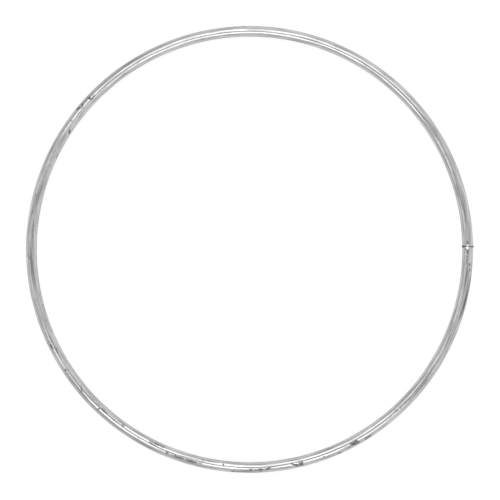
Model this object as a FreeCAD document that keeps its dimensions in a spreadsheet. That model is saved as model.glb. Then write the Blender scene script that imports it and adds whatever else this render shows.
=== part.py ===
import FreeCAD, Part
import math
import os
import Sketcher

# Wreath frame: one round wire bent to a circle, its two ends butt-welded face to face.
#
# Frame: the ring lies flat with its axis on +Z, and the lowest point of the weld is at Z = 0. The
# weld is at +X. Every piece is drawn with the wire's centre line in the plane Z = 0 of its own body,
# and the body's Placement then lifts it to the rest height.
#
# Millimetres throughout.

DIMENSIONS = [
    # alias, value, what it is
    ("clear_diameter", 120.0, "inside diameter of the ring"),
    ("wire_diameter", 3.0, "diameter of the wire"),
    ("collar_height", 0.12, "how far the upset metal beside the weld stands proud of the wire"),
    ("collar_length", 0.9, "length of the upset metal, from the seam to where its arc starts"),
    ("groove_width", 0.36, "width of the V between the two collars, at its mouth"),
    ("nugget_diameter", 2.5, "diameter of the fused disc between the wire's ends"),
    ("nugget_thickness", 0.16, "thickness of the fused disc, which is also the gap between the ends"),
    ("flash_thickness", 0.1, "thickness of the fin of weld metal that stands in the V"),
    ("burr_offset", 0.12, "how far the fin's outline is pushed outwards, away from the ring's axis"),
]

# Expressions that several features share.
MEAN_RADIUS = "(dims.clear_diameter + dims.wire_diameter) / 2"
REST_HEIGHT = "dims.wire_diameter / 2 + dims.collar_height"

# A cutting outline runs this far past the surface that it opens, in collar heights.
CUT_PAST = 2

# The collar's arc rises from inside the wire, at this share of the wire's radius.
COLLAR_ROOT = 0.97


def make_sheet(doc):
    """The spreadsheet with the driving dimensions, one row each."""
    sheet = doc.addObject("Spreadsheet::Sheet", "dims")
    for row, (alias, value, note) in enumerate(DIMENSIONS, start=1):
        sheet.set(f"A{row}", alias)
        sheet.set(f"B{row}", str(value))
        sheet.set(f"C{row}", note)
        sheet.setAlias(f"B{row}", alias)
    doc.recompute()
    return sheet


def make_body(doc, name):
    """A body with its own label, lifted so that the ring stands on Z = 0."""
    body = doc.addObject("PartDesign::Body", name)
    body.Label = name
    body.setExpression("Placement.Base.z", REST_HEIGHT)
    return body


def add_sketch(body, name, plane_role, x_offset=None):
    """A sketch on one of the body's origin planes, its origin moved along X by an expression."""
    sketch = body.newObject("Sketcher::SketchObject", name)
    plane = next(f for f in body.Origin.OriginFeatures if f.Role == plane_role)
    sketch.AttachmentSupport = [(plane, "")]
    sketch.MapMode = "FlatFace"
    if x_offset:
        sketch.setExpression("AttachmentOffset.Base.x", x_offset)
    return sketch


def add_circle(sketch, name, diameter, x_shift=None):
    """A circle bound to an expression for its diameter, on the sketch's origin or x_shift from it."""
    edge = sketch.addGeometry(Part.Circle(FreeCAD.Vector(0, 0, 0), FreeCAD.Vector(0, 0, 1), 1))
    size = sketch.addConstraint(Sketcher.Constraint("Diameter", edge, 2.0))
    sketch.renameConstraint(size, name + "_diameter")
    sketch.setExpression(f"Constraints.{name}_diameter", diameter)
    if x_shift is None:
        sketch.addConstraint(Sketcher.Constraint("Coincident", edge, 3, -1, 1))
        return
    sketch.addConstraint(Sketcher.Constraint("PointOnObject", edge, 3, -1))
    shift = sketch.addConstraint(Sketcher.Constraint("DistanceX", -1, 1, edge, 3, 1.0))
    sketch.renameConstraint(shift, name + "_shift")
    sketch.setExpression(f"Constraints.{name}_shift", x_shift)


def add_mirrored_outline(sketch, corners, crown=None):
    """A closed outline that is symmetric about the sketch's X axis.

    corners lists the upper half's points, from the inside out, each as (name, x expression,
    y expression). The lower half mirrors them. Straight edges join neighbours, and the two outermost
    points are joined by a straight edge, or by an arc through the point (crown, 0).
    """
    upper = [FreeCAD.Vector(1 + i, 1, 0) for i in range(len(corners))]
    ring = upper + [FreeCAD.Vector(p.x, -p.y, 0) for p in reversed(upper)]
    last = len(ring) - 1
    outer = len(corners) - 1
    edges = [
        sketch.addGeometry(Part.LineSegment(ring[i], ring[(i + 1) % len(ring)]))
        for i in range(len(ring))
        if not (crown and i == outer)
    ]
    tips = [(1, 2)] * len(edges)
    if crown:
        # An arc runs anticlockwise, so its end is the upper point and its start is the lower one.
        middle = FreeCAD.Vector(ring[outer].x - 2, 0, 0)
        reach = ring[outer] - middle
        half_turn = math.atan2(reach.y, reach.x)
        circle = Part.Circle(middle, FreeCAD.Vector(0, 0, 1), reach.Length)
        arc = sketch.addGeometry(Part.ArcOfCircle(circle, -half_turn, half_turn))
        edges.insert(outer, arc)
        tips.insert(outer, (2, 1))
    for i in range(len(edges)):
        after = (i + 1) % len(edges)
        sketch.addConstraint(
            Sketcher.Constraint("Coincident", edges[i], tips[i][1], edges[after], tips[after][0])
        )
    for i, (name, x_size, y_size) in enumerate(corners):
        corner = (edges[i], tips[i][0])
        twin = (edges[last - i], tips[last - i][0])
        sketch.addConstraint(Sketcher.Constraint("Symmetric", *corner, *twin, -1))
        for axis, size in (("X", x_size), ("Y", y_size)):
            length = sketch.addConstraint(
                Sketcher.Constraint("Distance" + axis, -1, 1, *corner, 1.0)
            )
            sketch.renameConstraint(length, f"{name}_{axis.lower()}")
            sketch.setExpression(f"Constraints.{name}_{axis.lower()}", size)
    if crown:
        top = sketch.addGeometry(Part.Point(middle + FreeCAD.Vector(reach.Length, 0, 0)), True)
        sketch.addConstraint(Sketcher.Constraint("PointOnObject", top, 1, -1))
        sketch.addConstraint(Sketcher.Constraint("PointOnObject", top, 1, arc))
        height = sketch.addConstraint(Sketcher.Constraint("DistanceX", -1, 1, top, 1, 2.0))
        sketch.renameConstraint(height, "crown_x")
        sketch.setExpression("Constraints.crown_x", crown)


def revolve(body, kind, name, sketch):
    """A full turn about the sketch's own Y axis, as a Revolution or a Groove."""
    feature = body.newObject("PartDesign::" + kind, name)
    feature.Profile = sketch
    feature.ReferenceAxis = (sketch, ["V_Axis"])
    feature.Angle = 360
    sketch.Visibility = False
    return feature


def extrude(body, kind, name, sketch, length):
    """A Pad or a Pocket that reaches length / 2 to each side of its sketch."""
    feature = body.newObject("PartDesign::" + kind, name)
    feature.Profile = sketch
    feature.SideType = "Symmetric"
    feature.setExpression("Length", length)
    sketch.Visibility = False
    return feature


def make_wire_ring(doc):
    """The wire: a closed torus, thickened at the weld, then parted there and chamfered to a V."""
    body = make_body(doc, "wire_ring")

    section = add_sketch(body, "wire_section", "XZ_Plane")
    add_circle(section, "wire", "dims.wire_diameter", "-" + MEAN_RADIUS)
    revolve(body, "Revolution", "bent_wire", section)

    # The collar and the V are turned about the wire's own centre line at the weld.
    collar = add_sketch(body, "collar_outline", "XY_Plane", MEAN_RADIUS)
    add_mirrored_outline(
        collar,
        [("root", f"dims.wire_diameter / 2 * {COLLAR_ROOT}", "dims.collar_length")],
        crown="dims.wire_diameter / 2 + dims.collar_height",
    )
    revolve(body, "Revolution", "upset_collar", collar)

    groove = add_sketch(body, "groove_outline", "XY_Plane", MEAN_RADIUS)
    add_mirrored_outline(
        groove,
        [
            ("bottom", "dims.nugget_diameter / 2", "dims.nugget_thickness / 2"),
            (
                "mouth",
                f"dims.wire_diameter / 2 + dims.collar_height * {CUT_PAST}",
                "dims.groove_width / 2",
            ),
        ],
    )
    revolve(body, "Groove", "seam_groove", groove)

    parting = add_sketch(body, "parting_outline", "XZ_Plane", MEAN_RADIUS)
    add_circle(parting, "parting", f"dims.wire_diameter + dims.collar_height * {2 * CUT_PAST}")
    extrude(body, "Pocket", "end_gap", parting, "dims.nugget_thickness")
    return body


def make_weld_nugget(doc):
    """The fused disc that fills the gap between the wire's two ends."""
    body = make_body(doc, "weld_nugget")
    disc = add_sketch(body, "nugget_outline", "XZ_Plane", MEAN_RADIUS)
    add_circle(disc, "nugget", "dims.nugget_diameter")
    extrude(body, "Pad", "fused_disc", disc, "dims.nugget_thickness")
    return body


def make_weld_flash(doc):
    """The thin fin round the nugget, level with the collars and proud of them on the outer side."""
    body = make_body(doc, "weld_flash")
    fin = add_sketch(body, "fin_outline", "XZ_Plane", MEAN_RADIUS)
    add_circle(fin, "edge", "dims.wire_diameter + 2 * dims.collar_height", "dims.burr_offset")
    add_circle(fin, "nugget", "dims.nugget_diameter")
    extrude(body, "Pad", "fin", fin, "dims.flash_thickness")
    return body


def check_document(doc, bodies):
    """Stops if a feature failed, a body is broken, or a cut or a joint removed or added nothing."""
    for obj in doc.Objects:
        if {"Invalid", "Error"} & set(obj.State):
            raise RuntimeError(f"{obj.Name} failed: {obj.State}")
    for body in bodies:
        shape = body.Shape
        if shape.isNull() or not shape.isValid() or len(shape.Solids) != 1:
            raise RuntimeError(f"{body.Label} is not one valid solid")
    for name, sign in (("upset_collar", 1), ("seam_groove", -1), ("end_gap", -1)):
        feature = doc.getObject(name)
        change = feature.Shape.Volume - feature.BaseFeature.Shape.Volume
        if change * sign <= 0:
            raise RuntimeError(f"{name} changed the volume by {change:.4f} mm3")


def main():
    doc = FreeCAD.newDocument("wreath_frame")
    make_sheet(doc)
    bodies = [make_wire_ring(doc), make_weld_nugget(doc), make_weld_flash(doc)]
    doc.recompute()
    check_document(doc, bodies)

    os.makedirs("parts", exist_ok=True)
    for body in bodies:
        body.Shape.exportStep(f"parts/{body.Label}.step")
        box = body.Shape.optimalBoundingBox(False, False)
        print(
            f"{body.Label}: {body.Shape.Volume:.3f} mm3,",
            f"X {box.XMin:.3f} to {box.XMax:.3f},",
            f"Y {box.YMin:.3f} to {box.YMax:.3f},",
            f"Z {box.ZMin:.3f} to {box.ZMax:.3f}",
        )


main()
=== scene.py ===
import math

import bmesh
import bpy
import numpy as np
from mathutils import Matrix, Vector, noise


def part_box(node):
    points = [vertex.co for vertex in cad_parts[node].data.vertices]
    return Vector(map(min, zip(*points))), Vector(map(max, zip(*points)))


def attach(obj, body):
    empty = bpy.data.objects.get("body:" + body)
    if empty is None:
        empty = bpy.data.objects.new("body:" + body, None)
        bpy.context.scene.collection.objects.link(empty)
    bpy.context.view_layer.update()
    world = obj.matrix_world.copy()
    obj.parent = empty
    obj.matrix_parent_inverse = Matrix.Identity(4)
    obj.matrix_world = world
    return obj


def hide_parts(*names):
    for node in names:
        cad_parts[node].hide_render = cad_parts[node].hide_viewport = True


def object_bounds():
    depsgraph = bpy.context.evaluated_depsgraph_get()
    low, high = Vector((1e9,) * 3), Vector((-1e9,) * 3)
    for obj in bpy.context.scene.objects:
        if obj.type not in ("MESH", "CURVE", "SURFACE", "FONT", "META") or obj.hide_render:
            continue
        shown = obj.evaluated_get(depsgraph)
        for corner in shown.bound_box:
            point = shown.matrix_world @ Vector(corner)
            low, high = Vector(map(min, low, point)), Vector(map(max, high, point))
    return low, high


# A welded wreath ring, lying on a pale floor and seen from straight above.
#
# Places on the wire are given by three numbers: the angle round the ring from the weld, anticlockwise
# seen from above; the lean, which is the angle round the wire's section from its top, positive
# towards the outside of the ring; and the radius from the wire's centre line.

MM = 0.001

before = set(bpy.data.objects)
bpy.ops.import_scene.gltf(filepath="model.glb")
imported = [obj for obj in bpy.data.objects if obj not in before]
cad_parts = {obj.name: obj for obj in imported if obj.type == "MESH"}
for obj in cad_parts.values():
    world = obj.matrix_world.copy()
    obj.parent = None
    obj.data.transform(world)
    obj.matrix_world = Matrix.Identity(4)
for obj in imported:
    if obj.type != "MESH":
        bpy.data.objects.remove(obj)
cad_low, cad_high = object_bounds()


# ---------------------------------------------------------------- sizes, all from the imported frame

def measure_ring():
    """The ring's mean radius, the wire's radius and the height of its centre line, in metres."""
    low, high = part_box("wire_ring")
    outer = high.y
    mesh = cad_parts["wire_ring"].data
    # The half away from the weld is plain wire.
    inner = min(math.hypot(v.co.x, v.co.y) for v in mesh.vertices if v.co.x < 0)
    return (outer + inner) / 2, (outer - inner) / 2, (low.z + high.z) / 2


MEAN_R, WIRE_R, CENTRE_Z = measure_ring()
RING_LENGTH = 2 * math.pi * MEAN_R

nugget_low, nugget_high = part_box("weld_nugget")
NUGGET_R = (nugget_high.x - nugget_low.x) / 2
HALF_GAP = (nugget_high.y - nugget_low.y) / 2

flash_low, flash_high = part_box("weld_flash")
FIN_HALF = (flash_high.y - flash_low.y) / 2
FIN_R = (flash_high.z - flash_low.z) / 2
COLLAR_H = FIN_R - WIRE_R
BURR = flash_high.x - MEAN_R - FIN_R


# ---------------------------------------------------------------- the surface of the wire

# Wear on the wire: (angle round the ring in degrees, lean in degrees, length along the wire in mm,
# width round the wire in mm, depth in mm, darkness 0 to 1, slant as mm of width per mm of length).
MARKS = [
    # just past the weld: a stain on the inner side, a dulled crest and two spots of spatter
    (0.12, -52, 0.4, 0.8, 0.0, 0.9, 0.0),
    (0.42, 0, 0.5, 1.2, 0.0, 0.4, 0.0),
    (0.85, 2, 0.45, 0.65, 0.04, 1.0, 0.0),
    (1.25, -4, 0.5, 0.65, 0.03, 1.0, 0.3),
    # upper left: a ring-shaped knock with a bright middle, and three dark knocks on the shoulder
    (134.8, 4, 0.7, 0.7, 0.03, 0.8, -0.5),
    (135.4, -2, 1.2, 0.45, 0.03, 0.9, 0.0),
    (135.9, 18, 0.8, 1.3, 0.04, 0.9, 0.0),
    (134.4, 52, 0.7, 0.4, 0.02, 0.5, -0.8),
    (129.6, 50, 1.0, 0.5, 0.02, 0.35, -0.3),
    (137.4, 0, 0.9, 0.3, 0.01, 0.5, 0.0),
    (138.4, 32, 0.8, 0.7, 0.04, 0.9, -0.3),
    (138.8, 14, 0.5, 0.5, 0.03, 0.6, -0.6),
    (139.8, 43, 1.1, 0.8, 0.05, 1.0, 0.4),
    (139.3, 22, 0.5, 0.7, 0.03, 0.6, 0.0),
    (140.5, 2, 1.4, 0.3, 0.01, 0.5, 0.0),
    (143.5, 14, 0.5, 0.6, 0.03, 0.6, 0.0),
    (146.1, -37, 1.3, 0.7, 0.04, 0.85, -0.4),
    (153.4, -49, 1.6, 0.5, 0.03, 0.5, -0.2),
    (157.0, 5, 0.7, 0.5, 0.01, 0.4, 0.0),
    # left: faint rubs across the top of the wire, such as feed rolls leave
    (164.9, 16, 1.1, 1.3, 0.01, 0.3, 0.0),
    (169.6, 14, 1.5, 1.5, 0.01, 0.35, 0.3),
    (172.9, -4, 0.8, 1.2, 0.01, 0.3, 0.0),
    (174.2, -8, 0.9, 1.3, 0.01, 0.3, 0.0),
    (175.9, -3, 1.0, 1.2, 0.01, 0.35, 0.0),
    (180.6, 48, 1.3, 0.5, 0.01, 0.4, 0.3),
    (187.4, 6, 0.8, 0.8, 0.01, 0.3, 0.0),
    # lower left: short scrapes each side of the top
    (194.3, -55, 0.8, 0.6, 0.01, 0.4, 0.0),
    (198.4, -32, 0.7, 0.7, 0.02, 0.4, 0.0),
    (201.7, -55, 0.9, 0.5, 0.02, 0.5, 0.3),
    (204.1, 31, 0.8, 0.6, 0.02, 0.4, 0.0),
    (205.1, 26, 1.3, 0.7, 0.04, 0.85, 0.0),
    (206.0, 23, 0.7, 0.6, 0.04, 0.7, 0.0),
    (207.1, -8, 2.8, 0.45, 0.02, 0.7, 0.1),
    (212.5, 20, 0.7, 0.8, 0.03, 0.7, 0.0),
    (213.0, -3, 1.1, 0.4, 0.02, 0.5, 0.0),
    (213.6, 22, 0.5, 0.6, 0.02, 0.4, 0.0),
    (219.0, 4, 1.5, 0.55, 0.04, 0.9, 0.7),
    (225.8, 11, 0.5, 1.0, 0.03, 0.7, 0.0),
    (227.2, -8, 2.7, 0.55, 0.02, 0.8, 0.0),
    (231.2, -4, 3.2, 0.4, 0.02, 0.6, 0.05),
    (233.5, -12, 1.2, 0.5, 0.02, 0.6, 0.0),
    (232.9, -32, 4.0, 0.6, 0.01, 0.35, 0.0),
    (242.9, -6, 2.6, 0.4, 0.02, 0.6, 0.1),
    (244.2, -30, 5.4, 0.5, 0.02, 0.7, -0.02),
    # bottom: the long scrapes
    (247.2, 14, 0.9, 1.0, 0.03, 0.7, 0.0),
    (250.1, 15, 5.0, 0.75, 0.03, 0.7, 0.0),
    (253.9, 15, 4.0, 0.75, 0.03, 0.75, 0.0),
    (256.5, 8, 1.4, 0.4, 0.02, 0.6, -0.3),
    (256.9, -22, 0.6, 0.4, 0.03, 0.7, 0.0),
    (258.9, -30, 2.0, 0.4, 0.01, 0.4, 0.0),
    (262.3, -17, 0.6, 0.6, 0.04, 0.8, 0.0),
    (265.0, 57, 1.2, 0.6, 0.03, 0.9, 0.0),
    (267.0, 51, 3.4, 0.4, 0.02, 0.62, -0.04),
    (270.3, 36, 5.6, 0.38, 0.02, 0.72, -0.06),
    (269.6, 25, 0.9, 0.6, 0.02, 0.6, 0.0),
    (272.1, 24, 1.4, 0.7, 0.04, 0.9, 0.0),
    (272.3, 52, 0.7, 0.4, 0.02, 0.6, 0.0),
    (274.0, 21, 1.6, 0.6, 0.04, 0.9, -0.3),
    (272.4, -30, 3.8, 0.3, 0.02, 0.5, 0.0),
    (280.7, 10, 1.4, 0.6, 0.04, 1.0, 0.5),
    (281.6, 31, 1.0, 1.0, 0.05, 0.9, 0.3),
    (282.8, 25, 1.4, 1.7, 0.05, 0.8, 0.0),
    (285.5, 33, 0.6, 0.5, 0.02, 0.4, 0.0),
    (289.0, 20, 0.7, 0.5, 0.02, 0.4, 0.3),
    (290.7, -50, 1.0, 0.4, 0.02, 0.5, 0.0),
    (293.3, 58, 1.4, 0.5, 0.03, 0.85, 0.3),
    (296.1, 44, 1.6, 0.5, 0.02, 0.5, 0.0),
    (297.1, 15, 1.2, 0.7, 0.04, 0.9, 0.3),
    (298.0, 23, 2.3, 1.5, 0.05, 0.8, 0.0),
    (301.5, 48, 2.6, 0.8, 0.03, 0.65, 0.08),
    # lower right
    (308.7, 6, 1.6, 0.4, 0.01, 0.5, 0.0),
    (311.8, 3, 1.3, 0.5, 0.03, 0.7, 0.5),
    (312.9, 8, 0.7, 0.5, 0.02, 0.5, 0.0),
    (316.3, 17, 1.1, 0.6, 0.02, 0.45, -0.4),
    (321.0, 18, 0.5, 0.6, 0.02, 0.45, 0.0),
    (325.0, 18, 0.5, 0.6, 0.02, 0.35, 0.0),
    # just short of the weld: marks such as the welding jaws leave
    (354.0, 31, 1.0, 0.4, 0.03, 0.7, 0.0),
    (355.05, 12, 0.32, 1.1, 0.01, 0.6, 0.0),
    (355.4, 29, 0.8, 0.45, 0.02, 0.75, 0.0),
    (352.9, 3, 2.6, 0.4, 0.01, 0.5, 0.0),
    (356.3, -9, 3.2, 0.42, 0.01, 0.72, 0.0),
    (357.4, -3, 0.4, 0.8, 0.02, 0.75, 0.0),
    (358.3, -7, 0.8, 0.5, 0.03, 0.85, 0.0),
    (358.75, -4, 0.8, 0.6, 0.04, 0.95, 0.0),
    (359.2, -20, 0.6, 0.5, 0.03, 0.95, -1.0),
    (359.4, 0, 0.4, 1.2, 0.0, 0.12, 0.0),
    (359.9, -54, 0.35, 0.7, 0.0, 0.8, 0.0),
]

# Long dull smudges in the plating, which darken it with no relief, and two long bands of painted
# shade down the outer side of the wire: (angle, lean, length, width, darkness), in the same units.
SMUDGES_AND_SHADE_BANDS = [
    (10.5, 3, 9.0, 0.9, 0.3),
    (15.0, -15, 13.0, 1.3, 0.3),
    (22.0, 6, 12.0, 0.7, 0.3),
    (29.0, -33, 9.0, 0.7, 0.3),
    (31.0, -13, 16.0, 1.3, 0.25),
    (105.0, -10, 16.0, 1.2, 0.15),
    # painted shade, not a smudge: a long dark band down the outer side of the wire, standing for the
    # darker reflection there
    (126.0, 47, 42.0, 1.4, 0.35),
    (155.6, 34, 7.5, 0.8, 0.45),
    (163.0, 3, 13.0, 0.9, 0.35),
    (175.5, -6, 8.0, 1.0, 0.3),
    (181.4, 5, 12.0, 1.0, 0.4),
    (181.6, 11, 12.0, 0.35, 0.8),
    (195.0, -12, 14.0, 1.5, 0.16),
    # painted shade, not a smudge: the second long dark band down the outer side, standing for the
    # darker reflection there
    (229.0, 47, 40.0, 1.4, 0.35),
    (248.0, -25, 24.0, 0.8, 0.18),
    (290.0, -22, 18.0, 0.5, 0.12),
    (302.0, -14, 12.0, 0.4, 0.2),
    (316.5, -14, 11.0, 0.6, 0.45),
    (319.5, 20, 9.0, 0.5, 0.2),
    (321.8, -25, 7.0, 0.4, 0.5),
    (335.0, 1, 4.0, 0.6, 0.3),
    (338.0, -22, 4.0, 0.5, 0.4),
    (345.6, 15, 2.0, 0.6, 0.4),
    (346.4, 42, 12.0, 1.2, 1.0),
    (350.3, 56, 5.0, 0.7, 0.9),
    (352.4, 4, 6.5, 0.5, 0.5),
]

# A mark fades out to nothing this far from its middle, per mm of its length or width.
MARK_REACH = 0.68 * MM

# Knocks too small to place one by one: how many, and the range of each of a mark's seven values.
RANDOM_SEED = 7
RANDOM_MARKS = 110
RANDOM_RANGES = [
    (4, 356), (-180, 180), (0.3, 1.6), (0.2, 0.5), (0.004, 0.02), (0.15, 0.45), (-0.4, 0.4),
]

# The grid of the wire's mesh: the vertices round its section, and the step from one ring of them to
# the next, which grows from FIRST_STEP at the seam.
AROUND = 48
STEP = 0.21 * MM
FIRST_STEP = 0.02 * MM
STEP_GROWTH = 1.09

# The weld's swelling and the V in it, as lengths from the seam. The V's sides are a little hollow.
COLLAR_END = 0.74 * MM
COLLAR_CREST = 0.10 * MM
GROOVE_HALF = 0.12 * MM
GROOVE_POWER = 0.8
SEAM_STAIN = 0.11 * MM

# The seam has closed up over the top and the bottom of the wire, within about this lean, and this
# share of the V and of its stain is gone there.
CLOSED_LEAN = math.radians(21)
CLOSED_SHARE = 0.95

# How much the drawn wire wanders from true, and over what length. The hammering is also finer round
# the wire by HAMMER_AROUND, and starts elsewhere in the noise, so that the two don't line up. Both
# fade in over WAVE_FADE from the edge of the seam's V.
WAVE_HEIGHT = 0.012 * MM
WAVE_LENGTH = 5.0 * MM
HAMMER_HEIGHT = 0.004 * MM
HAMMER_LENGTH = 0.9 * MM
HAMMER_AROUND = 2.2
HAMMER_START = 50
WAVE_FADE = 1.0 * MM


def stations():
    """Arc lengths from the seam of the wire's rings of vertices, close together at the weld."""
    near = [HALF_GAP]
    step = FIRST_STEP
    while step < STEP:
        near.append(near[-1] + step)
        step *= STEP_GROWTH
    middle = RING_LENGTH - 2 * near[-1]
    count = round(middle / STEP)
    plain = [near[-1] + middle * i / count for i in range(1, count)]
    far = [RING_LENGTH - s for s in reversed(near)]
    return np.array(near + plain + far)


def collar_profile(from_seam):
    """How far the upset metal stands proud, by distance from the seam: a smooth swelling."""
    t = np.clip((from_seam - COLLAR_CREST) / (COLLAR_END - COLLAR_CREST), 0, 1)
    return COLLAR_H * (1 + np.cos(math.pi * t)) / 2


def groove_profile(from_seam):
    """How deep the V of the seam is, from the collar's crest to the nugget's rim."""
    t = np.clip((from_seam - HALF_GAP) / (GROOVE_HALF - HALF_GAP), 0, 1)
    return (WIRE_R + COLLAR_H - NUGGET_R) * (1 - t) ** GROOVE_POWER


def closed(lean):
    """1 where the seam has closed up, at the top and the bottom of the wire, and 0 at its sides."""
    from_pole = np.arcsin(np.clip(np.abs(np.sin(lean)), 0, 1))
    return np.exp(-((from_pole / CLOSED_LEAN) ** 4))


def falloff(t):
    """1 over the middle of a mark, smoothly to 0 at t = 1."""
    return (1 - np.clip(np.abs(t), 0, 1) ** 3) ** 2


def random_marks():
    """Small nicks all over the wire, the same on every run."""
    rng = np.random.default_rng(RANDOM_SEED)
    return [tuple(rng.uniform(*span) for span in RANDOM_RANGES) for _ in range(RANDOM_MARKS)]


def wire_surface(arc, lean):
    """Radius, scuff, and smudge with painted shade, on the grid of arc lengths (a column) by leans in
    radians (a row).
    """
    from_seam = np.minimum(arc, RING_LENGTH - arc)
    open_seam = 1 - CLOSED_SHARE * closed(lean)
    radius = WIRE_R + collar_profile(from_seam) - groove_profile(from_seam) * open_seam
    scuff = np.exp(-((from_seam / SEAM_STAIN) ** 4)) * open_seam
    smudge_and_shade = np.zeros_like(radius)

    def mark_shape(angle, mark_lean, length, width, slant):
        """1 in the middle of a mark and 0 outside it."""
        along = arc - math.radians(angle) * MEAN_R
        turn = (lean - math.radians(mark_lean) + math.pi) % (2 * math.pi) - math.pi
        across = turn * WIRE_R - slant * along
        return falloff(along / (length * MARK_REACH)) * falloff(across / (width * MARK_REACH))

    for angle, mark_lean, length, width, depth, dark, slant in MARKS + random_marks():
        shape = mark_shape(angle, mark_lean, length, width, slant)
        radius -= shape * depth * MM
        scuff = np.maximum(scuff, shape * dark)
    # Smudges in the plating, and the two bands of painted shade down the outer side.
    for angle, mark_lean, length, width, dark in SMUDGES_AND_SHADE_BANDS:
        smudge_and_shade = np.maximum(smudge_and_shade, mark_shape(angle, mark_lean, length, width, 0) * dark)
    return radius, scuff, smudge_and_shade


def add_waviness(radius, arc, lean):
    """Long waves and fine hammering from drawing and tumbling, fading out into the weld."""
    for i in range(radius.shape[0]):
        s = float(arc[i, 0])
        from_groove = min(s, RING_LENGTH - s) - GROOVE_HALF
        fade = min(1.0, max(0.0, from_groove / WAVE_FADE))
        for j in range(radius.shape[1]):
            a = float(lean[0, j])
            x, y = math.sin(a), math.cos(a)
            long_wave = noise.noise(Vector((x, y, s / WAVE_LENGTH)))
            dimple = noise.noise(
                Vector((x * HAMMER_AROUND, y * HAMMER_AROUND, s / HAMMER_LENGTH + HAMMER_START))
            )
            radius[i, j] += fade * (WAVE_HEIGHT * long_wave + HAMMER_HEIGHT * dimple)


def on_ring(arc, lean, radius):
    """The point at an arc length, lean and radius, in the row's frame."""
    angle = arc / MEAN_R
    out = MEAN_R + radius * np.sin(lean)
    return np.stack(
        [out * np.cos(angle), out * np.sin(angle), CENTRE_Z + radius * np.cos(lean)], axis=-1
    )


def new_object(name, verts, faces):
    """A smooth-shaded mesh object."""
    mesh = bpy.data.meshes.new(name)
    mesh.from_pydata([tuple(v) for v in verts], [], faces)
    mesh.update()
    mesh.polygons.foreach_set("use_smooth", [True] * len(mesh.polygons))
    piece = bpy.data.objects.new(name, mesh)
    bpy.context.collection.objects.link(piece)
    return piece


def add_attribute(mesh, name, kind, values):
    """Stores one value per vertex, which the materials read by name."""
    layer = mesh.attributes.new(name, kind, "POINT")
    layer.data.foreach_set("vector" if kind == "FLOAT_VECTOR" else "value", values.ravel())


def make_wire():
    """The wire from one side of the seam round to the other, closed by its two end faces.

    Its wire_coord attribute is the place on a straight wire, in mm: across, across and along.
    """
    arc = stations()[:, None]
    lean = (np.arange(AROUND) * 2 * math.pi / AROUND)[None, :]
    radius, scuff, smudge_and_shade = wire_surface(arc, lean)
    add_waviness(radius, arc, lean)
    points = on_ring(arc, lean, radius)
    # The end faces lie in planes parallel to the seam, not across the ring.
    for row, side in ((0, 1), (-1, -1)):
        points[row, :, 1] = side * HALF_GAP

    rows = len(arc)
    verts = points.reshape(-1, 3)
    ends = np.array([[MEAN_R, HALF_GAP, CENTRE_Z], [MEAN_R, -HALF_GAP, CENTRE_Z]])
    verts = np.vstack([verts, ends])
    faces = []
    for i in range(rows - 1):
        here = i * AROUND
        there = here + AROUND
        for j in range(AROUND):
            k = (j + 1) % AROUND
            faces.append((here + j, here + k, there + k, there + j))
    first_hub, last_hub = rows * AROUND, rows * AROUND + 1
    last = (rows - 1) * AROUND
    for j in range(AROUND):
        k = (j + 1) % AROUND
        faces.append((first_hub, k, j))
        faces.append((last_hub, last + j, last + k))
    piece = new_object("wire", verts, faces)

    coord = np.stack(
        np.broadcast_arrays(radius * np.sin(lean), radius * np.cos(lean), arc), axis=-1
    ).reshape(-1, 3)
    coord = np.vstack([coord, [[0, 0, HALF_GAP], [0, 0, RING_LENGTH - HALF_GAP]]]) / MM
    add_attribute(piece.data, "wire_coord", "FLOAT_VECTOR", coord)
    for name, values in (("scuff", scuff), ("smudge_and_shade", smudge_and_shade)):
        add_attribute(piece.data, name, "FLOAT", np.append(values.ravel(), [0, 0]))
    return piece


# ---------------------------------------------------------------- the weld's fin

# The grid of the fin's mesh: sections round the wire, and the vertices of each section.
FIN_AROUND = 180
FIN_ROWS = 11

# Its edge is uneven by RAGGED in long waves and by TORN in short ones, and wanders along the wire.
# Each of the three has its own noise, given as a scale and a layer.
RAGGED = 0.03 * MM
RAGGED_NOISE = (2.5, 3.0)
TORN = 0.04 * MM
TORN_NOISE = (9.0, 5.0)
WANDER = 0.06 * MM
WANDER_NOISE = (1.5, 9.0)

# The burr stands on the outer side, with this share of it on the inner side. Its tip is bent over by
# BURR_LEAN, and the higher BURR_TIP is, the less of the fin bends with it.
BURR_INSIDE = 0.2
BURR_LEAN = 0.11 * MM
BURR_TIP = 12

# The metal is thicker at the crest than at the root by up to this much on each side, of which
# SPREAD_MIN is there with no burr at all. The unevenness of the edge adds to it or takes from it.
BURR_SPREAD = 0.16 * MM
SPREAD_MIN = 0.4
SPREAD_RAGGED = 0.4
SPREAD_TORN = 0.5

# Where the seam has closed, the fin lies this far below the collars.
CLOSED_DIP = 0.01 * MM

# The crest is rounded where the fin stands free, and flat where it has closed the seam.
CROWN_FREE = 0.4
CROWN_CLOSED = 0.06


def unevenness(outside, up, scale, layer):
    """Noise round the fin, at a place given by the sine and cosine of its lean."""
    return noise.noise(Vector((outside * scale, up * scale, layer)))


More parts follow.
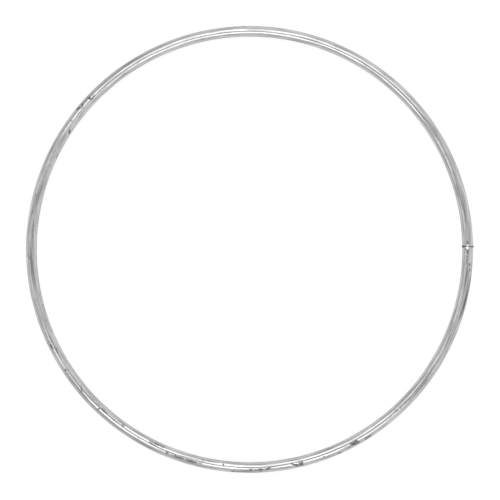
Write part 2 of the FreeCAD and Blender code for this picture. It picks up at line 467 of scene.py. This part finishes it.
def make_fin():
    """The fin of squeezed-out metal in the seam: ragged and proud at the sides, level over the top."""
    verts = []
    plated = []
    for a in np.arange(FIN_AROUND) * 2 * math.pi / FIN_AROUND:
        outside, up = math.sin(a), math.cos(a)
        level = float(closed(a))
        ragged = unevenness(outside, up, *RAGGED_NOISE)
        torn = unevenness(outside, up, *TORN_NOISE)
        # At the sides it stands a little proud of the collars, thickest on the outer side.
        burr = (1 if outside > 0 else BURR_INSIDE) * abs(outside)
        rise_past = burr * BURR + RAGGED * ragged + TORN * torn
        crest = FIN_R + (1 - level) * rise_past - level * CLOSED_DIP
        root_half = level * HALF_GAP + (1 - level) * FIN_HALF
        spread = BURR_SPREAD * (SPREAD_MIN + (1 - SPREAD_MIN) * burr)
        spread *= 1 + SPREAD_RAGGED * ragged + SPREAD_TORN * torn
        crest_half = root_half + (1 - level) * spread
        wander = WANDER * (1 - level) * unevenness(outside, up, *WANDER_NOISE)
        wander -= BURR_LEAN * max(outside, 0.0) ** BURR_TIP
        crown = CROWN_FREE + (CROWN_CLOSED - CROWN_FREE) * level
        for row in range(FIN_ROWS):
            t = row / (FIN_ROWS - 1)
            # From the root on one side, over the crest, to the root on the other side.
            side = math.cos(math.pi * t)
            rise = math.sin(math.pi * t) ** crown
            r = NUGGET_R + (crest - NUGGET_R) * rise
            y = side * (root_half + (crest_half - root_half) * rise) + wander * rise
            verts.append((MEAN_R + r * outside, y, CENTRE_Z + r * up))
            plated.append(level)
    faces = []
    for j in range(FIN_AROUND):
        here = j * FIN_ROWS
        there = (j + 1) % FIN_AROUND * FIN_ROWS
        for row in range(FIN_ROWS):
            after = (row + 1) % FIN_ROWS
            faces.append((here + row, here + after, there + after, there + row))
    piece = new_object("weld_fin", verts, faces)
    add_attribute(piece.data, "plated", "FLOAT", np.array(plated))
    return piece


# ---------------------------------------------------------------- materials

class Nodes:
    """A short way to write a material's node tree. Most methods add a node and give its output."""

    def __init__(self, name):
        self.material = bpy.data.materials.new(name)
        self.material.use_nodes = True
        self.tree = self.material.node_tree
        self.tree.nodes.clear()

    def add(self, kind, inputs=None, **settings):
        """A node with its settings, and its inputs by name or by place."""
        node = self.tree.nodes.new(kind)
        for key, value in settings.items():
            setattr(node, key, value)
        for key, value in (inputs or {}).items():
            self.put(value, node.inputs[key])
        return node

    def put(self, value, socket):
        """Links another node's output to an input, or sets the input to a plain value."""
        if isinstance(value, bpy.types.NodeSocket):
            self.tree.links.new(value, socket)
        else:
            socket.default_value = value

    def math(self, operation, a, b=0.0):
        """An operation on two numbers, such as MULTIPLY."""
        return self.add("ShaderNodeMath", {0: a, 1: b}, operation=operation).outputs[0]

    def scaled(self, vector, scale):
        """A coordinate stretched along each axis."""
        node = self.add("ShaderNodeVectorMath", {0: vector, 1: scale}, operation="MULTIPLY")
        return node.outputs[0]

    def noise(self, vector, detail=3.0, roughness=0.5):
        """Noise with one cycle to each unit of the coordinate."""
        return self.add(
            "ShaderNodeTexNoise",
            {"Vector": vector, "Scale": 1.0, "Detail": detail, "Roughness": roughness},
        ).outputs["Fac"]

    def span(self, value, low, high, to_low=0.0, to_high=1.0):
        """Maps low..high to to_low..to_high, clamped."""
        node = self.add(
            "ShaderNodeMapRange",
            {"Value": value, "From Min": low, "From Max": high, "To Min": to_low,
             "To Max": to_high},
        )
        return node.outputs["Result"]

    def mix(self, factor, a, b):
        """A blend of two colours, from a to b."""
        node = self.add("ShaderNodeMix", data_type="RGBA")
        # The node has these sockets once for each data type, so the colour ones go by their place.
        for place, value in ((0, factor), (6, a), (7, b)):
            self.put(value, node.inputs[place])
        return node.outputs[2]

    def attribute(self, name, output="Fac"):
        """A value that the mesh holds for each vertex."""
        return self.add("ShaderNodeAttribute", attribute_name=name).outputs[output]

    def bump(self, height, distance, below=None):
        """A relief of up to a distance in metres, over another one if that is given."""
        inputs = {"Height": height, "Distance": distance, "Strength": 1.0}
        if below is not None:
            inputs["Normal"] = below
        return self.add("ShaderNodeBump", inputs).outputs["Normal"]

    def finish(self, color, roughness, normal, metallic=1.0, edge=1.0):
        """Ends the tree; edge is how bright the metal still is where it is seen at a grazing angle."""
        shader = self.add(
            "ShaderNodeBsdfPrincipled",
            {"Base Color": color, "Roughness": roughness, "Normal": normal, "Metallic": metallic,
             "Specular Tint": grey(edge)},
        )
        self.add("ShaderNodeOutputMaterial", {"Surface": shader.outputs[0]})
        return self.material


def grey(value):
    """A grey as a node's colour."""
    return (value, value, value, 1.0)


# The patterns in the zinc, each as its scale across, across and along the wire in cycles per mm, and
# then its detail and roughness.
LINES = ((7.0, 7.0, 0.09), 4.0, 0.6)
STREAKS = ((2.4, 2.4, 0.14), 3.0, 0.5)
BROAD_LINES = ((2.2, 2.2, 0.05), 2.0, 0.5)
MOTTLE = ((1.1, 1.1, 0.5), 4.0, 0.6)
GRAIN = ((9.0, 9.0, 6.0), 3.0, 0.7)
SPECKS = ((1.9, 1.9, 1.5), 5.0, 0.7)

# The zinc's greys, the depth of each relief in it, how much rougher a scuff is, and how bright the
# metal still is at a grazing angle.
ZINC_DARKER, ZINC_LIGHTER = 0.565, 0.66
LINE_GREY = 0.45
STREAK_GREY = 0.33
# also the grey of the painted shade bands on the outer side
SMUDGE_AND_SHADE_GREY = 0.10
SCUFF_GREY = 0.135
LINE_DEPTH = 0.005 * MM
BROAD_LINE_DEPTH = 0.006 * MM
GRAIN_DEPTH = 0.0012 * MM
SCUFF_DEPTH = 0.03 * MM
SCUFF_ROUGHER = 0.25
ZINC_EDGE = 0.6


def zinc_wire():
    """Bright zinc over drawn wire: lengthwise lines, a faint mottle, dark scuffs, dull smudges, and
    painted shade in two long bands down the outer side.
    """
    n = Nodes("zinc_wire")
    coord = n.attribute("wire_coord", "Vector")
    patterns = (LINES, STREAKS, BROAD_LINES, MOTTLE, GRAIN, SPECKS)
    lines, streaks, broad_lines, mottle, grain, specks = (
        n.noise(n.scaled(coord, scale), detail, roughness) for scale, detail, roughness in patterns
    )

    # A scuff breaks up into specks, and its edge is torn, but it stays inside its own mark. Smudges
    # and the painted shade are thinner in some streaks than in others.
    scuff = n.attribute("scuff")
    tearing = n.span(specks, 0.35, 0.65, -0.3, 0.3)
    torn = n.math("ADD", scuff, tearing)
    inside = n.span(scuff, 0.02, 0.2)
    worn = n.math("MULTIPLY", n.span(torn, 0.05, 0.75), inside)
    thinning = n.span(streaks, 0.35, 0.6, 0.5, 1.0)
    smudge_and_shade = n.math("MULTIPLY", n.attribute("smudge_and_shade"), thinning)

    bright = n.mix(n.span(mottle, 0.3, 0.7), grey(ZINC_DARKER), grey(ZINC_LIGHTER))
    lined = n.mix(n.span(lines, 0.35, 0.75, 0.0, 0.5), bright, grey(LINE_GREY))
    streaked = n.mix(n.span(streaks, 0.45, 0.62, 0.0, 0.8), lined, grey(STREAK_GREY))
    # Smudges darken the plating, and the two outer bands lay painted shade.
    smudged_and_shaded = n.mix(smudge_and_shade, streaked, grey(SMUDGE_AND_SHADE_GREY))
    color = n.mix(worn, smudged_and_shaded, grey(SCUFF_GREY))

    mottle_rough = n.span(mottle, 0.3, 0.7, 0.15, 0.20)
    grain_rough = n.span(grain, 0.3, 0.8, 0.0, 0.06)
    plain_rough = n.math("ADD", mottle_rough, grain_rough)
    roughness = n.math("ADD", plain_rough, n.math("MULTIPLY", worn, SCUFF_ROUGHER))

    drawn = n.bump(lines, LINE_DEPTH)
    banded = n.bump(broad_lines, BROAD_LINE_DEPTH, drawn)
    grained = n.bump(grain, GRAIN_DEPTH, banded)
    pitted = n.bump(n.math("MULTIPLY", worn, specks), SCUFF_DEPTH, grained)
    return n.finish(color, roughness, pitted, edge=ZINC_EDGE)


# The weld's patterns, in cycles per mm, its greys, and how much smoother it is where it is plated.
CLOUD_SCALE = 2.0
PITS_SCALE = 11.0
PITS_DEPTH = 0.03 * MM
PLATED_SMOOTHER = 0.25
OXIDE_DARKER, OXIDE_LIGHTER = 0.03, 0.16
PLATED_DARKER, PLATED_LIGHTER = 0.40, 0.56


def weld_metal():
    """Weld metal: dark, granular oxide in the open seam, plated bright where the seam has closed."""
    n = Nodes("weld_metal")
    coord = n.scaled(n.add("ShaderNodeTexCoord").outputs["Object"], (1 / MM,) * 3)
    cloud = n.noise(n.scaled(coord, (CLOUD_SCALE,) * 3), detail=4.0, roughness=0.6)
    pits = n.noise(n.scaled(coord, (PITS_SCALE,) * 3), detail=3.0, roughness=0.7)
    plated = n.attribute("plated")
    oxide = n.mix(n.span(cloud, 0.45, 0.65), grey(OXIDE_DARKER), grey(OXIDE_LIGHTER))
    zinc = n.mix(n.span(cloud, 0.35, 0.7), grey(PLATED_DARKER), grey(PLATED_LIGHTER))
    color = n.mix(plated, oxide, zinc)
    open_rough = n.span(pits, 0.3, 0.7, 0.45, 0.7)
    roughness = n.math("SUBTRACT", open_rough, n.math("MULTIPLY", plated, PLATED_SMOOTHER))
    pitted = n.bump(pits, PITS_DEPTH)
    # Bare oxide reflects like a stone in its darker clouds, and plated metal reflects like metal.
    metallic = n.math("MAXIMUM", n.span(plated, 0.2, 0.6), n.span(cloud, 0.45, 0.65, 0.2, 0.9))
    return n.finish(color, roughness, pitted, metallic)


# The floor's glow, its greys and its faint clouds in cycles per metre.
FLOOR_GLOW = 0.80
FLOOR_DARKER, FLOOR_LIGHTER = 0.21, 0.23
FLOOR_CLOUDS = 90.0


def floor_paint():
    """A white light-table floor: it glows softly, so almost no shadow shows on it."""
    n = Nodes("floor_paint")
    coord = n.scaled(n.add("ShaderNodeTexCoord").outputs["Object"], (FLOOR_CLOUDS,) * 3)
    cloud = n.noise(coord, detail=2.0)
    shader = n.add(
        "ShaderNodeBsdfPrincipled",
        {
            "Base Color": n.mix(cloud, grey(FLOOR_DARKER), grey(FLOOR_LIGHTER)),
            "Roughness": 0.7,
            "Specular IOR Level": 0.1,
            "Emission Color": grey(1.0),
            "Emission Strength": FLOOR_GLOW,
        },
    )
    n.add("ShaderNodeOutputMaterial", {"Surface": shader.outputs[0]})
    return n.material


def paint(piece, material):
    """Gives a piece one material and no other."""
    piece.data.materials.clear()
    piece.data.materials.append(material)


# ---------------------------------------------------------------- the studio

# The floor's size in metres, and how many sides its outline has.
FLOOR_RADIUS = 40.0
FLOOR_SIDES = 96

# Two softboxes hang over the ring with a gap between them for the camera, and a faint one fills in
# from the left. Each has its middle, its size along and across, its turn from the X axis in degrees,
# and its radiance. The middle and the size are in shares of the softboxes' height.
BOX_HEIGHT = 1.5
BOXES = {
    "softbox_back": ((-0.04, 0.665), (1.04, 0.82), 19.0, 1.55),
    "softbox_left": ((-1.1, 0.0), (0.8, 1.2), 0.0, 0.33),
    "softbox_front": ((-0.07, -0.484), (0.96, 0.46), -16.0, 1.85),
}

# The radiance of the room at its -X and +X ends, and its share of that overhead, which it falls to
# between two heights given as the cosine of the angle from the vertical.
ROOM_LOW = 0.74
ROOM_HIGH = 0.96
OVERHEAD = 0.82
OVERHEAD_FROM = (0.72, 0.97)


def make_floor():
    """A round floor that the ring lies on."""
    mesh = bpy.data.meshes.new("floor")
    bm = bmesh.new()
    bmesh.ops.create_circle(bm, cap_ends=True, segments=FLOOR_SIDES, radius=FLOOR_RADIUS)
    bm.to_mesh(mesh)
    bm.free()
    floor = bpy.data.objects.new("floor", mesh)
    floor.location.z = cad_low.z
    bpy.context.collection.objects.link(floor)
    paint(floor, floor_paint())


def make_softbox(name, middle, size, turn, radiance):
    """One softbox, flat overhead, with an even radiance over its face."""
    width, depth = (side * BOX_HEIGHT for side in size)
    light = bpy.data.lights.new(name, "AREA")
    light.shape = "RECTANGLE"
    light.size, light.size_y = width, depth
    # A lambertian face of radiance L and area A gives out pi * A * L watts.
    light.energy = math.pi * width * depth * radiance
    box = bpy.data.objects.new(name, light)
    box.location = (middle[0] * BOX_HEIGHT, middle[1] * BOX_HEIGHT, BOX_HEIGHT)
    box.rotation_euler.z = math.radians(turn)
    bpy.context.collection.objects.link(box)


def make_room():
    """The room's even light: a little darker towards -X, and darker again straight overhead."""
    world = bpy.data.worlds.new("room")
    world.use_nodes = True
    tree = world.node_tree
    tree.nodes.clear()

    def ramp(value, *limits):
        node = tree.nodes.new("ShaderNodeMapRange")
        node.interpolation_type = "SMOOTHSTEP"
        tree.links.new(value, node.inputs["Value"])
        for key, limit in zip(("From Min", "From Max", "To Min", "To Max"), limits):
            node.inputs[key].default_value = limit
        return node.outputs["Result"]

    coord = tree.nodes.new("ShaderNodeTexCoord")
    split = tree.nodes.new("ShaderNodeSeparateXYZ")
    tree.links.new(coord.outputs["Generated"], split.inputs[0])
    strength = tree.nodes.new("ShaderNodeMath")
    strength.operation = "MULTIPLY"
    tree.links.new(ramp(split.outputs["X"], -1.0, 1.0, ROOM_LOW, ROOM_HIGH), strength.inputs[0])
    tree.links.new(ramp(split.outputs["Z"], *OVERHEAD_FROM, 1.0, OVERHEAD), strength.inputs[1])
    light = tree.nodes.new("ShaderNodeBackground")
    light.inputs["Color"].default_value = grey(1.0)
    tree.links.new(strength.outputs[0], light.inputs["Strength"])
    out = tree.nodes.new("ShaderNodeOutputWorld")
    tree.links.new(light.outputs[0], out.inputs[0])
    bpy.context.scene.world = world


# The camera looks straight down. The ring fills this share of the picture's width, a touch up and
# left of its middle, and the weld shows this far above the ring's own right-hand point. The lens and
# the sensor are in millimetres, and the clipping distances in metres.
RING_SHARE = 0.8936
RING_LEFT = 0.0009
RING_UP = 0.0012
WELD_RISE = math.radians(0.74)
LENS = 400.0
SENSOR = 36.0
CLIP = (0.01, 100.0)


def make_camera():
    """The camera, far enough off for its long lens to frame the ring."""
    data = bpy.data.cameras.new("camera")
    data.lens = LENS
    data.sensor_width = SENSOR
    picture = 2 * (MEAN_R + WIRE_R) / RING_SHARE
    distance = picture * LENS / SENSOR
    camera = bpy.data.objects.new("camera", data)
    shift = Vector((RING_LEFT * picture, -RING_UP * picture, 0))
    camera.location = Vector((0, 0, CENTRE_Z + distance)) + shift
    camera.rotation_euler = (0, 0, -WELD_RISE)
    data.clip_start, data.clip_end = CLIP
    bpy.context.collection.objects.link(camera)
    bpy.context.scene.camera = camera


# ---------------------------------------------------------------- putting it together

def main():
    wire = make_wire()
    paint(wire, zinc_wire())
    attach(wire, "root")
    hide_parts("wire_ring")

    weld = weld_metal()
    fin = make_fin()
    paint(fin, weld)
    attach(fin, "root")
    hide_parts("weld_flash")

    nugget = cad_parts["weld_nugget"]
    for slot in nugget.material_slots:
        slot.material = weld

    make_floor()
    for name, settings in BOXES.items():
        make_softbox(name, *settings)
    make_room()
    make_camera()
    bpy.context.scene.view_settings.view_transform = "Standard"


main()
